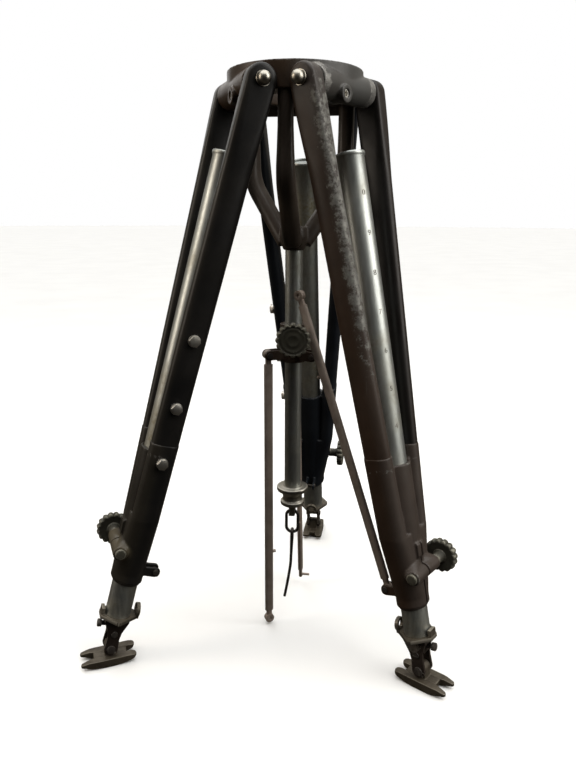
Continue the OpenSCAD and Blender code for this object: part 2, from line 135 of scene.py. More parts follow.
def from_bmesh(name, bm):
    mesh = bpy.data.meshes.new(name)
    bmesh.ops.recalc_face_normals(bm, faces=bm.faces)
    bm.to_mesh(mesh)
    bm.free()
    return new_object(name, mesh)


def shade(obj, sharp_deg=None):
    for poly in obj.data.polygons:
        poly.use_smooth = True
    if sharp_deg is not None:
        obj.data.set_sharp_from_angle(angle=math.radians(sharp_deg))
    return obj


def settle(obj):
    """Turns the object's modifiers into its mesh."""
    graph = bpy.context.evaluated_depsgraph_get()
    mesh = bpy.data.meshes.new_from_object(obj.evaluated_get(graph))
    obj.modifiers.clear()
    obj.data = mesh
    return obj


def copy_of(node, name):
    """A welded copy of a CAD node's mesh, to refine."""
    bm = bmesh.new()
    bm.from_mesh(NODES[node].data)
    bmesh.ops.remove_doubles(bm, verts=bm.verts, dist=1e-6)
    return from_bmesh(name, bm)


def join(name, parts):
    """One object from several, which are used up."""
    bm = bmesh.new()
    for part in parts:
        part.data.transform(part.matrix_world)
        bm.from_mesh(part.data)
        bpy.data.objects.remove(part)
    return from_bmesh(name, bm)


def cast(obj, voxel, rounds):
    """Fuses the object into one skin and softens it, as a sand casting is."""
    remesh = obj.modifiers.new("skin", "REMESH")
    remesh.mode = "VOXEL"
    remesh.voxel_size = voxel
    smooth = obj.modifiers.new("soften", "SMOOTH")
    smooth.factor = 0.5
    smooth.iterations = rounds
    return shade(settle(obj))


def machined(obj, width, segments=2):
    """Breaks the sharp edges of a turned or milled piece."""
    edge_deg = 32
    bevel = obj.modifiers.new("edges", "BEVEL")
    bevel.width = width
    bevel.segments = segments
    bevel.limit_method = "ANGLE"
    bevel.angle_limit = math.radians(edge_deg)
    bevel.use_clamp_overlap = True
    bevel.harden_normals = False
    return shade(settle(obj), 40)


def bridge(bm, low, high):
    """Faces between two closed rings with the same number of points."""
    for k in range(len(low)):
        n = (k + 1) % len(low)
        bm.faces.new((low[k], low[n], high[n], high[k]))


def loft(name, rings):
    """A skin through rings of equal numbers of points, with closed ends."""
    bm = bmesh.new()
    loops = [[bm.verts.new(p) for p in ring] for ring in rings]
    for low, high in zip(loops, loops[1:]):
        bridge(bm, low, high)
    bm.faces.new(loops[0])
    bm.faces.new(loops[-1])
    return from_bmesh(name, bm)


def round_section(ra, rb, steps):
    turns = [2 * math.pi * k / steps for k in range(steps)]
    return [(ra * math.cos(a), rb * math.sin(a)) for a in turns]


def lathe(name, profile, steps=64):
    """A turned piece from (radius, height) points, about Z."""
    turn = round_section(1, 1, steps)
    rings = [[Vector((r * c, r * s, z)) for c, s in turn] for r, z in profile]
    return loft(name, rings)


def sweep(name, path, sections):
    """A skin along a path in space. Each section is a list of (side, up) offsets."""
    rings = []
    up = Vector((1, 0, 0))
    for k, point in enumerate(path):
        ahead = path[min(k + 1, len(path) - 1)] - path[max(k - 1, 0)]
        ahead.normalize()
        side = ahead.cross(up).normalized()
        lift = side.cross(ahead).normalized()
        up = lift
        rings.append([point + side * a + lift * b for a, b in sections[k]])
    return loft(name, rings)


def soft_box(half_x, half_y, corner, steps=10):
    """Outline of a rectangle with round corners."""
    corner = min(corner, half_x, half_y)
    points = []
    for cx, cy, start in ((1, 1, 0), (-1, 1, 90), (-1, -1, 180), (1, -1, 270)):
        for k in range(steps + 1):
            a = math.radians(start + 90 * k / steps)
            points.append((cx * (half_x - corner) + corner * math.cos(a),
                           cy * (half_y - corner) + corner * math.sin(a)))
    return points


def blend_value(a, b, t):
    """Goes smoothly from a to b while t goes from 0 to 1."""
    t = min(max(t, 0.0), 1.0)
    t = t * t * (3 - 2 * t)
    return a + (b - a) * t


def place(obj, matrix):
    obj.data.transform(matrix)
    return obj


def set_layer(obj, name, rule):
    """Stores a value from -1 to 1 at each point, for a material to read."""
    layer = obj.data.attributes.new(name, "FLOAT", "POINT")
    for v in obj.data.vertices:
        layer.data[v.index].value = min(max(rule(v.co), -1.0), 1.0)
    return obj


def set_wear(obj, rule):
    """How far the enamel is rubbed through. Below 0 it keeps the paint on the edges too."""
    return set_layer(obj, "wear", rule)


def set_tone(obj, rule):
    """How far enamel has faded or plating is stained. Below 0, how far enamel is darkened with painted shade."""
    return set_layer(obj, "tone", rule)


# ---- frames of the legs ----

def leg_frame(side):
    """Origin on the hinge, X outward, Y along the hinge, Z up the leg."""
    hinge = JOINTS[f"leg_{side}_splay"]
    z = -Vector(JOINTS[f"leg_{side}_extend"]["axis"]).normalized()
    y = -Vector(hinge["axis"]).normalized()
    m = Matrix((y.cross(z), y, z)).transposed().to_4x4()
    m.translation = Vector(hinge["pos_m"])
    return m


def along_hinge(hand):
    """Turns Z to lie along the hinge, towards one side."""
    return Matrix.Rotation(-hand * math.pi / 2, 4, "X")


LEG = {side: leg_frame(side) for side in SIDES}


# ---- materials ----

class Shader:
    """A small builder of node materials around one Principled shader."""

    def __init__(self, name, **values):
        self.mat = bpy.data.materials.new(name)
        self.mat.use_nodes = True
        self.tree = self.mat.node_tree
        self.main = self.tree.nodes["Principled BSDF"]
        for socket, value in values.items():
            self.main.inputs[socket.replace("_", " ")].default_value = value
        self.coord = self.node("ShaderNodeTexCoord").outputs["Object"]

    def node(self, kind, **props):
        n = self.tree.nodes.new(kind)
        for key, value in props.items():
            setattr(n, key, value)
        return n

    def link(self, a, b):
        self.tree.links.new(a, b)

    def stretch(self, scale):
        m = self.node("ShaderNodeMapping")
        m.inputs["Scale"].default_value = scale
        self.link(self.coord, m.inputs["Vector"])
        return m.outputs["Vector"]

    def noise(self, scale, detail, rough, vector=None):
        n = self.node("ShaderNodeTexNoise")
        n.inputs["Scale"].default_value = scale
        n.inputs["Detail"].default_value = detail
        n.inputs["Roughness"].default_value = rough
        self.link(vector or self.coord, n.inputs["Vector"])
        return n.outputs["Fac"]

    def ramp(self, value, low, high, a=0.0, b=1.0):
        n = self.node("ShaderNodeMapRange")
        n.inputs["From Min"].default_value = low
        n.inputs["From Max"].default_value = high
        n.inputs["To Min"].default_value = a
        n.inputs["To Max"].default_value = b
        self.link(value, n.inputs["Value"])
        return n.outputs["Result"]

    def math(self, op, a, b):
        n = self.node("ShaderNodeMath", operation=op)
        for k, v in enumerate((a, b)):
            if isinstance(v, (int, float)):
                n.inputs[k].default_value = v
            else:
                self.link(v, n.inputs[k])
        return n.outputs[0]

    def mix(self, fac, a, b):
        n = self.node("ShaderNodeMix", data_type="RGBA")
        self.link(fac, n.inputs["Factor"])
        for k, v in (("A", a), ("B", b)):
            socket = [i for i in n.inputs if i.name == k and i.type == "RGBA"][0]
            if isinstance(v, tuple):
                socket.default_value = (*v, 1.0)
            else:
                self.link(v, socket)
        return [o for o in n.outputs if o.type == "RGBA"][0]

    def bump(self, height, strength, distance):
        n = self.node("ShaderNodeBump")
        n.inputs["Strength"].default_value = strength
        n.inputs["Distance"].default_value = distance
        self.link(height, n.inputs["Height"])
        self.link(n.outputs["Normal"], self.main.inputs["Normal"])

    def edges(self, low, high):
        """How far a point stands out as an edge."""
        geo = self.node("ShaderNodeNewGeometry")
        return self.ramp(geo.outputs["Pointiness"], low, high)

    def to(self, socket, value):
        self.link(value, self.main.inputs[socket])


def enamel(name, dark, light, bare, faded=(0.075, 0.073, 0.07), rough=(0.32, 0.5), edge=(0.53, 0.6),
           edge_amount=0.8, sand=0.25):
    """Old stove enamel on a casting: mottled, faded in places, rubbed through at the edges, and darkened with
    painted shade where its tone is below 0.
    """
    s = Shader(name, Specular_IOR_Level=0.27)
    mottle = s.noise(14.0, 6.0, 0.6)
    fine = s.noise(160.0, 5.0, 0.65)
    paint = s.mix(s.ramp(mottle, 0.35, 0.68), dark, light)
    tone = s.node("ShaderNodeAttribute", attribute_name="tone").outputs["Fac"]
    fade = s.math("MAXIMUM", tone, 0.0)
    paint = s.mix(s.math("MULTIPLY", fade, s.ramp(mottle, 0.25, 0.6, 0.6, 1.0)), paint, faded)
    # Below 0 the tone attribute mixes the paint towards near-black: painted shade on parts that lie in shadow.
    painted_shade = s.math("MAXIMUM", s.math("MULTIPLY", tone, -1.0), 0.0)
    paint = s.mix(painted_shade, paint, (0.003, 0.0027, 0.0025))
    chips = s.noise(88.0, 10.0, 0.84)
    worn_here = s.node("ShaderNodeAttribute", attribute_name="wear").outputs["Fac"]
    rub = s.math("MULTIPLY", s.edges(*edge), edge_amount)
    amount = s.math("ADD", rub, worn_here)
    level = s.math("ADD", amount, s.math("MULTIPLY", s.math("SUBTRACT", chips, 0.5), 2.6))
    mask = s.ramp(level, 0.5, 0.62)
    scratch = s.ramp(s.noise(9.0, 8.0, 0.75, s.stretch((6.0, 6.0, 0.7))), 0.64, 0.7, 0.0, 0.5)
    mask = s.math("MAXIMUM", mask, s.math("MULTIPLY", scratch, s.math("ADD", worn_here, 0.12)))
    metal = s.mix(s.ramp(fine, 0.35, 0.65), tuple(c * 0.55 for c in bare), bare)
    s.to("Base Color", s.mix(mask, paint, metal))
    s.to("Metallic", s.math("MULTIPLY", mask, 0.45))
    gloss = s.ramp(s.noise(22.0, 5.0, 0.6), 0.3, 0.7, *rough)
    s.to("Roughness", s.math("ADD", gloss, s.math("MULTIPLY", mask, 0.08)))
    height = s.math("SUBTRACT", s.math("MULTIPLY", fine, sand), s.math("MULTIPLY", mask, 0.6))
    s.bump(height, 0.4, 0.0006)
    return s.mat


def chrome(name, clean, stain, rough, stain_at):
    """Old plated tube: fine lengthwise streaks, a brown haze and a few dull patches."""
    s = Shader(name, Metallic=1.0)
    streak = s.noise(60.0, 6.0, 0.7, s.stretch((5.0, 5.0, 0.25)))
    haze = s.noise(7.0, 6.0, 0.65)
    spots = s.noise(210.0, 3.0, 0.6)
    dull = s.math("MULTIPLY", s.ramp(haze, *stain_at), s.ramp(spots, 0.35, 0.6, 0.7, 1.0))
    tone = s.node("ShaderNodeAttribute", attribute_name="tone").outputs["Fac"]
    s.to("Base Color", s.mix(s.math("MAXIMUM", dull, tone), clean, stain))
    base = s.ramp(streak, 0.3, 0.7, *rough)
    s.to("Roughness", s.math("ADD", base, s.math("MULTIPLY", dull, 0.25)))
    s.bump(streak, 0.08, 0.0003)
    return s.mat


def bare_metal(name, dark, light, rough, metallic, pits, edge_light):
    """Uncoated metal with a brown-grey skin, brighter where it is rubbed."""
    s = Shader(name, Metallic=metallic)
    cloud = s.noise(38.0, 6.0, 0.65)
    fine = s.noise(260.0, 4.0, 0.6)
    colour = s.mix(s.ramp(cloud, 0.32, 0.68), dark, light)
    s.to("Base Color", s.mix(s.math("MULTIPLY", s.edges(0.52, 0.6), 0.8), colour, edge_light))
    s.to("Roughness", s.ramp(cloud, 0.3, 0.7, rough[1], rough[0]))
    s.bump(s.math("ADD", s.math("MULTIPLY", fine, 0.4), s.math("MULTIPLY", cloud, pits)), 0.3, 0.0008)
    return s.mat


MATERIALS = {
    "paint_head": enamel("paint_head", (0.034, 0.0215, 0.0135), (0.058, 0.04, 0.0275), (0.3, 0.29, 0.27),
                         faded=(0.078, 0.077, 0.073), rough=(0.28, 0.44), edge=(0.52, 0.58)),
    "paint_right": enamel("paint_right", (0.025, 0.0148, 0.0092), (0.043, 0.026, 0.0165),
                          (0.21, 0.205, 0.185), rough=(0.34, 0.5), edge=(0.57, 0.7), edge_amount=0.6),
    "paint_left": enamel("paint_left", (0.0065, 0.0062, 0.0062), (0.0145, 0.013, 0.0115),
                         (0.24, 0.23, 0.21), faded=(0.075, 0.062, 0.04), rough=(0.3, 0.44),
                         edge=(0.6, 0.72), edge_amount=0.4),
    "paint_back": enamel("paint_back", (0.005, 0.0063, 0.009), (0.0105, 0.0128, 0.0165),
                         (0.15, 0.15, 0.16), faded=(0.02, 0.022, 0.026), rough=(0.3, 0.42),
                         edge=(0.6, 0.72), edge_amount=0.4),
    "chrome_tube": chrome("chrome_tube", (0.46, 0.48, 0.46), (0.22, 0.19, 0.12),
                          rough=(0.36, 0.48), stain_at=(0.48, 0.7)),
    "bright_steel": chrome("bright_steel", (0.72, 0.7, 0.65), (0.2, 0.175, 0.12),
                           rough=(0.27, 0.4), stain_at=(0.5, 0.75)),
    "knob_metal": enamel("knob_metal", (0.03, 0.0285, 0.021), (0.062, 0.058, 0.044), (0.2, 0.19, 0.15),
                         rough=(0.38, 0.6), edge=(0.51, 0.57), edge_amount=0.9),
    "strut_alloy": bare_metal("strut_alloy", (0.19, 0.148, 0.118), (0.33, 0.262, 0.215),
                              rough=(0.42, 0.6), metallic=0.25, pits=0.25, edge_light=(0.3, 0.27, 0.24)),
    "foot_steel": bare_metal("foot_steel", (0.036, 0.028, 0.019), (0.1, 0.084, 0.06),
                             rough=(0.36, 0.6), metallic=0.5, pits=0.9, edge_light=(0.36, 0.33, 0.27)),
    "foot_iron": enamel("foot_iron", (0.016, 0.0115, 0.009), (0.038, 0.029, 0.023), (0.22, 0.2, 0.175),
                        rough=(0.3, 0.5), edge=(0.52, 0.58)),
    "dark_steel": bare_metal("dark_steel", (0.028, 0.023, 0.019), (0.07, 0.06, 0.052),
                             rough=(0.3, 0.5), metallic=0.6, pits=0.5, edge_light=(0.24, 0.22, 0.195)),
}
SLOT_OF = {row["node"]: row["material_slot"] for row in frame["record"]["subparts"]}
BODIES = frame["record"]["behaviour"]["bodies"]
BODY_OF = {node: body for body, nodes in BODIES.items() for node in nodes}

for node_name, node_object in NODES.items():
    node_object.data.materials.clear()
    node_object.data.materials.append(MATERIALS[SLOT_OF[node_name]])


def finish_piece(obj, body, slot, *replaced):
    """Gives a piece its finish, its body and the CAD nodes it stands for."""
    obj.data.materials.clear()
    obj.data.materials.append(MATERIALS[slot])
    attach(obj, body)
    if replaced:
        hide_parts(*replaced)
    return obj


def refine(node, how, *sizes):
    """A refined copy of one CAD node, with the node's own finish."""
    obj = how(copy_of(node, f"{node}_piece"), *sizes)
    return finish_piece(obj, BODY_OF[node], SLOT_OF[node], node)


# ---- head and cage ----

def worn_boss(p):
    """Wear of the head: the ends of the hinge bosses are rubbed, and the top rim a little."""
    boss_end = 36 * MM
    for side in SIDES:
        q = LEG[side].inverted() @ p
        near_axis = math.hypot(q.x, q.z) < BOSS_R + 3 * MM
        if near_axis and abs(q.y) > boss_end:
            rubbed = blend_value(0.1, 0.62, (abs(q.y) - boss_end) / (10 * MM))
            return rubbed if side == "right" else 0.15
    return 0.12 if p.z > -3 * MM else 0.0


def head_tone(p):
    """The head's enamel is made paler and greyer on the side towards the right leg, less so towards +Y."""
    return blend_value(0.0, 1.0, (p.x + 5 * MM) / (45 * MM)) * blend_value(1.0, 0.2, p.y / (60 * MM))


def cage_line():
    """Middle line of a cage arm as (distance from the centre, height, bend angle)."""
    points = [(ARM_OUT, -RING_H + 6 * MM, 0.0), (ARM_OUT, -RING_H - 14 * MM, 0.0),
              (ARM_OUT, -RING_H - 40 * MM, 0.0), (ARM_OUT, -BEND_TOP + 14 * MM, 0.0)]
    steps = 10
    for k in range(steps + 1):
        a = ARM_BEND * k / steps
        points.append((ARM_OUT - BEND_R * (1 - math.cos(a)), -BEND_TOP - BEND_R * math.sin(a), a))
    x, z, a = points[-1]
    run = (x - ARM_END_R) / math.sin(ARM_BEND)
    for k in range(1, 5):
        d = run * k / 4
        points.append((x - d * math.sin(a), z - d * math.cos(a), a))
    return points


def cage_arm():
    """One rounded arm in the plane of X and Z, wider below than at the head."""
    rings = []
    for x, z, a in cage_line():
        low = min(max((-z - 60 * MM) / (90 * MM), 0), 1)
        half_w = blend_value(9.6 * MM, 12.4 * MM, low)
        half_t = 10.8 * MM
        ring = []
        for side, out in soft_box(half_w, half_t, 9.4 * MM):
            ring.append(Vector((x + out * math.cos(a), side, z - out * math.sin(a))))
        rings.append(ring)
    return loft("arm", rings)


def cage_piece():
    parts = []
    for side in SIDES:
        hinge = Vector(JOINTS[f"leg_{side}_splay"]["pos_m"])
        azimuth = math.atan2(hinge.y, hinge.x) + math.radians(60)
        parts.append(place(cage_arm(), Matrix.Rotation(azimuth, 4, "Z")))
    top = -HUB_LOW + HUB_H
    profile = [(13.6 * MM, -HUB_LOW), (15 * MM, -HUB_LOW + 1 * MM), (17.5 * MM, -HUB_LOW + 9 * MM),
               (HUB_R, -HUB_LOW + 18 * MM), (HUB_R - 1 * MM, top - 3 * MM), (HUB_R - 4 * MM, top)]
    parts.append(lathe("hub", profile))
    obj = cast(join("cage_piece", parts), 1.1 * MM, 10)
    set_wear(obj, lambda p: 0.1)
    set_tone(obj, lambda p: 0.25)
    return finish_piece(obj, "stand", "paint_head", "cage")


def column_foot_piece():
    """Turned end of the column: a lipped flange, a waist, a smaller flange and the tang for the link."""
    low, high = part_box("column_foot")
    steps = [(12.3, 0.6), (15.5, 0.6), (16.2, 0), (21.8, 0), (23.1, -0.5), (23.5, -1.6), (23.5, -5.2),
             (22.9, -6.4), (21.6, -7.2), (19.4, -7.9), (18.9, -9.2), (17.4, -9.8), (16.9, -11.4),
             (14.9, -12.6), (14.5, -14), (14.5, -21.4), (15.2, -22.6), (17.1, -23.2), (18, -24.2),
             (18, -28.4), (17.2, -29.4), (12.6, -30.2), (11.8, -31.4), (8.6, -32.2), (7.9, -33)]
    turned = lathe("turned", [(r * MM, high.z + z * MM) for r, z in steps], 96)
    tang = copy_of("column_foot", "tang")
    bm = bmesh.new()
    bm.from_mesh(tang.data)
    cut = bmesh.ops.bisect_plane(bm, geom=bm.verts[:] + bm.edges[:] + bm.faces[:],
                                 plane_co=(0, 0, high.z - 31 * MM), plane_no=(0, 0, 1), clear_outer=True)
    rim = [e for e in cut["geom_cut"] if isinstance(e, bmesh.types.BMEdge)]
    bmesh.ops.contextual_create(bm, geom=rim)
    bm.to_mesh(tang.data)
    bm.free()
    obj = join("column_foot_piece", [machined(turned, 0.35 * MM, 2), machined(tang, 0.8 * MM, 3)])
    shade(obj, 45)
    set_tone(obj, lambda p: 0.5)
    return finish_piece(obj, "stand", "bright_steel", "column_foot")


# ---- legs ----

def tube_middle(drop):
    """Distance of a tube's middle line from the middle of the leg, at a distance down from the hinge."""
    ease = 15 * MM
    run = (drop + math.hypot(drop, ease)) / 2
    return TUBE_OUT - run * math.tan(TUBE_LEAN)


def tube_half_profile(power, steps=18):
    """Half of a tube's cross-section, on the outward side. A high power gives flat faces, 2 an ellipse."""
    points = []
    for k in range(steps + 1):
        a = math.pi * (0.5 - k / steps)
        out = abs(math.cos(a)) ** (2 / power)
        across = abs(math.sin(a)) ** (2 / power)
        x = BOSS_R * out if 0 < k < steps else 0.0
        points.append((x, math.copysign(TUBE_T / 2 * across, math.sin(a))))
    return points


def outer_tube_piece(side, letter, hand):
    """A flat-oval tube with soft edges at its round eye. Its lower end is inside the casting."""
    power_eye, power_tube = 6.0, 2.3
    blend_len = 120 * MM
    levels = 44
    bm = bmesh.new()

    def ring(power, z):
        half = tube_half_profile(power)
        whole = half + [(-x, y) for x, y in reversed(half[1:-1])]
        shift = hand * tube_middle(-z)
        return [bm.verts.new((x, y + shift, z)) for x, y in whole]

    rings = []
    for k in range(levels + 1):
        drop = TUBE_LEN * (k / levels) ** 1.3
        rings.append(ring(blend_value(power_eye, power_tube, drop / blend_len), -drop))
    for a, b in zip(rings, rings[1:]):
        bridge(bm, a, b)
    bm.faces.new(rings[-1])
    half = tube_half_profile(power_eye)
    turns = 24
    fans = []
    for t in range(turns + 1):
        a = math.pi * t / turns
        column = []
        for x, y in half:
            z = x * math.sin(a)
            column.append(bm.verts.new((x * math.cos(a), y + hand * tube_middle(-z), z)))
        fans.append(column)
    for a, b in zip(fans, fans[1:]):
        for k in range(len(half) - 1):
            bm.faces.new((a[k], a[k + 1], b[k + 1], b[k]))
    bmesh.ops.remove_doubles(bm, verts=bm.verts, dist=0.02 * MM)
    obj = from_bmesh(f"{side}_tube_{letter}", bm)
    shade(obj, 60)
    front = side == "right" and hand < 0
    shaded = side == "right" and hand > 0

    def wear(q):
        drop = -q.z
        nose = q.x / BOSS_R
        if front:
            run = blend_value(0.62, 0.1, (drop - 250 * MM) / (200 * MM))
            eye = blend_value(0.6, 1.0, drop / (40 * MM))
            return run * eye * blend_value(0.0, 1.0, (nose + 0.1) / 0.95)
        return 0.2 * blend_value(0.0, 1.0, (nose - 0.7) / 0.3)

    def tone(q):
        nose = q.x / BOSS_R
        if front:
            low_end = blend_value(1.0, 0.35, -q.z / (450 * MM))
            return 0.5 * blend_value(0.0, 1.0, (nose - 0.1) / 0.7) * low_end
        # The far tube of the right leg gets painted shade: its enamel is darkened almost to black, a little less
        # at its outward edge.
        if shaded:
            return -0.95 + 0.25 * blend_value(0.0, 1.0, (nose - 0.8) / 0.2)
        return 0.15 * blend_value(0.0, 1.0, (nose - 0.5) / 0.5)

    set_tone(obj, tone)
    set_wear(obj, wear)
    place(obj, LEG[side])
    return finish_piece(obj, f"leg_{side}", f"paint_{side}", f"{side}_outer_tube_{letter}")


def clamp_pads():
    """The two raised pads beside the sleeve's slit."""
    bm = bmesh.new()
    top, low, root = -588 * MM, -608 * MM, 15 * MM
    slit_half, pad_half = 1.6 * MM, 9 * MM
    edge_out, face_out = 24.2 * MM, 25.4 * MM
    for hand in (-1, 1):
        rings = []
        for z, out in ((low, edge_out), (low + 3 * MM, face_out), (top - 2 * MM, face_out), (top, edge_out)):
            y0, y1 = hand * slit_half, hand * pad_half
            corners = ((root, y0, z), (out, y0, z), (out - 1.2 * MM, y1, z), (root, y1, z))
            rings.append([bm.verts.new(p) for p in corners])
        for a, b in zip(rings, rings[1:]):
            bridge(bm, a, b)
        bm.faces.new(rings[0])
        bm.faces.new(rings[-1])
    return from_bmesh("pads", bm)


def lug_webs():
    """The two cones that run from the clamp lugs into the sleeve."""
    web = lathe("web", [(9 * MM, 0), (10.4 * MM, 2 * MM), (13.5 * MM, 24 * MM), (13.5 * MM, 26 * MM)], 48)
    webs = []
    for hand in (-1, 1):
        cone = web if hand > 0 else new_object("web_b", web.data.copy())
        spot = Vector((CLAMP_OUT, hand * 27 * MM, -CLAMP_AT))
        aim = (Vector((4 * MM, 0, -CLAMP_AT + 14 * MM)) - spot).normalized()
        turn = aim.to_track_quat("Z", "X").to_matrix().to_4x4()
        webs.append((cone, Matrix.Translation(spot) @ turn))
    return [place(cone, matrix) for cone, matrix in webs]


def finish_sleeve(obj):
    """Opens the bore to its clearance, and chamfers and slopes the sleeve's lower end."""
    chamfer, slope, edge = 5 * MM, 5 * MM, -SLEEVE_LOW
    bore_r = INNER_R + 0.4 * MM
    flange_r = 24 * MM
    for v in obj.data.vertices:
        q = v.co
        r = math.hypot(q.x, q.y)
        if r < bore_r:
            q.x *= bore_r / r
            q.y *= bore_r / r
        depth = (edge + chamfer - q.z) / chamfer
        if depth > 0 and r > INNER_R + 1 * MM:
            limit = SLEEVE_R - 3 * MM * min(depth, 1)
            if r > limit and r < flange_r:
                q.x *= limit / r
                q.y *= limit / r
        lean_back = blend_value(0.0, slope, (edge + 40 * MM - q.z) / (40 * MM))
        if lean_back > 0:
            q.z += lean_back * (0.5 + 0.5 * q.x / SLEEVE_R)


def casting_piece(side):
    """The lower casting with its pads and webs, fused into one skin and softened."""
    body = place(copy_of(f"{side}_casting", f"{side}_casting_raw"), LEG[side].inverted())
    obj = join(f"{side}_casting_piece", [body, clamp_pads()] + lug_webs())
    cast(obj, 1.1 * MM, 5)
    finish_sleeve(obj)

    def from_screw(q):
        return math.hypot(q.x - CLAMP_OUT, q.z + CLAMP_AT)

    def wear(q):
        at_lug = abs(q.y) > 27 * MM and from_screw(q) < 11 * MM
        at_saddle = abs(q.z + SADDLE_AT) < 2.5 * MM
        return 0.42 if at_lug else 0.38 if at_saddle else -1.0

    def tone(q):
        if side == "right":
            return 0.3 * blend_value(0.0, 1.0, q.x / (16 * MM))
        if side == "left":
            return max(blend_value(0.9, 0.0, (from_screw(q) - 10 * MM) / (10 * MM)),
                       0.2 * blend_value(0.0, 1.0, (q.x + 4 * MM) / (16 * MM)))
        return 0.0

    set_wear(obj, wear)
    set_tone(obj, tone)
    place(obj, LEG[side])
    return finish_piece(obj, f"leg_{side}", f"paint_{side}", f"{side}_casting")


def dome_nuts_piece(side):
    """Two domes on a short round skirt, each over a thin washer."""
    parts = []
    face = TUBE_OUT + TUBE_T / 2
    nut_r, skirt = 8 * MM, 4 * MM
    dome = [(nut_r * math.cos(a), skirt + nut_r * math.sin(a))
            for a in [math.radians(88) * k / 14 for k in range(15)]]
    profile = [(7.3 * MM, 0.8 * MM), (7.8 * MM, 1.1 * MM), (nut_r, 1.8 * MM)] + dome
    rim = [(8.8 * MM, 0), (9.1 * MM, 0.3 * MM), (8.8 * MM, 0.9 * MM), (5.5 * MM, 1 * MM)]
    for hand in (-1, 1):
        for part in (lathe("washer", rim, 48), lathe("nut", profile, 48)):
            place(part, LEG[side] @ Matrix.Translation((0, hand * face, 0)) @ along_hinge(hand))
            parts.append(part)
    obj = shade(join(f"{side}_dome_nuts_piece", parts), 40)
    set_tone(obj, lambda p: 0.6)
    return finish_piece(obj, f"leg_{side}", SLOT_OF[f"{side}_dome_nuts"], f"{side}_dome_nuts")


def foot_distance(side):
    hinge = Vector(JOINTS[f"leg_{side}_splay"]["pos_m"])
    return (Vector(JOINTS[f"foot_{side}_tilt"]["pos_m"]) - hinge).length


def inner_tube_piece(side):
    """Plated tube with a rolled lip and a sunk plug at its upper end."""
    top = -INNER_TOP
    low = -(foot_distance(side) - PLATE_UP)
    r = INNER_R
    profile = [(r - 2 * MM, low), (r - 0.4 * MM, low), (r, low + 0.4 * MM)]
    profile += [(r, low + (top - low - 6 * MM) * k / 12) for k in range(1, 13)]
    profile += [(r + 0.9 * MM, top - 4.4 * MM), (r + 1.4 * MM, top - 3.2 * MM),
                (r + 1.4 * MM, top - 1 * MM), (r + 0.8 * MM, top), (r - 0.6 * MM, top),
                (r - 1.4 * MM, top - 0.8 * MM), (r - 1.6 * MM, top - 3 * MM), (r - 5 * MM, top - 3.4 * MM)]
    obj = shade(place(lathe(f"{side}_inner_tube_piece", profile, 96), LEG[side]), 35)
    return finish_piece(obj, f"inner_{side}", "chrome_tube", f"{side}_inner_tube")


def number_marks(side):
    """Stamped numbers down the outward side of the sliding tube, wrapped onto it."""
    parts = []
    first_at, spacing = 134.5, 49.6
    turn = math.radians(-21)
    lift = 0.16 * MM
    for k, digit in enumerate("0987654"):
        curve = bpy.data.curves.new("digit", "FONT")
        curve.body = digit
        curve.size = 9.5 * MM
        curve.align_x = "CENTER"
        curve.extrude = 0.12 * MM
        text = new_object("digit", curve)
        graph = bpy.context.evaluated_depsgraph_get()
        mesh = bpy.data.meshes.new_from_object(text.evaluated_get(graph))
        bpy.data.objects.remove(text)
        mark = new_object("mark", mesh)
        at = (first_at + spacing * k) * MM
        for v in mark.data.vertices:
            a = turn + v.co.x / INNER_R
            r = INNER_R + lift + v.co.z
            v.co = Vector((r * math.cos(a), r * math.sin(a), v.co.y - at))
        parts.append(mark)
    obj = place(join(f"{side}_number_marks", parts), LEG[side])
    return finish_piece(obj, f"inner_{side}", "dark_steel")


# ---- knobs ----

def wheel(name):
    """Scalloped wheel with its axis along Z: dished back, beaded rim and ridged face."""
    profile = [(7, 2.3), (10, 1.6), (15, 1.4), (19, 0.7), (21.4, 0.5), (22.9, 1.2), (23.8, 2.8),
               (24, 6), (23.8, 9.2), (22.9, 10.9), (21.3, 11.7), (19.7, 11.4), (18.8, 10.6),
               (17.2, 10.4), (16.4, 10.9), (14.6, 11.0), (13.8, 10.5), (9.4, 10.5), (8.6, 10.9),
               (6.4, 10.9), (5.6, 10.5)]
    steps = KNOB_LOBES * 12
    depth = 2.7 * MM
    grip_from, grip_over = 18.6, 3.2
    rings = []
    for rho, z in profile:
        ring = []
        for k in range(steps):
            a = 2 * math.pi * k / steps
            hollow = 1 - abs(math.cos(KNOB_LOBES * a / 2)) ** 0.8
            grip = blend_value(0, 1, (rho - grip_from) / grip_over)
            r = rho * MM - depth * hollow * grip
            ring.append(Vector((r * math.cos(a), r * math.sin(a), z * MM)))
        rings.append(ring)
    return loft(name, rings)


def screw_head(r, h):
    """A round screw head standing on z = 0 with a soft top edge."""
    profile = [(r - 0.6 * MM, 0), (r, 0.4 * MM), (r, h - 1 * MM), (r - 1 * MM, h)]
    return lathe("head", profile + [(r - 3 * MM, h + 0.2 * MM)], 48)


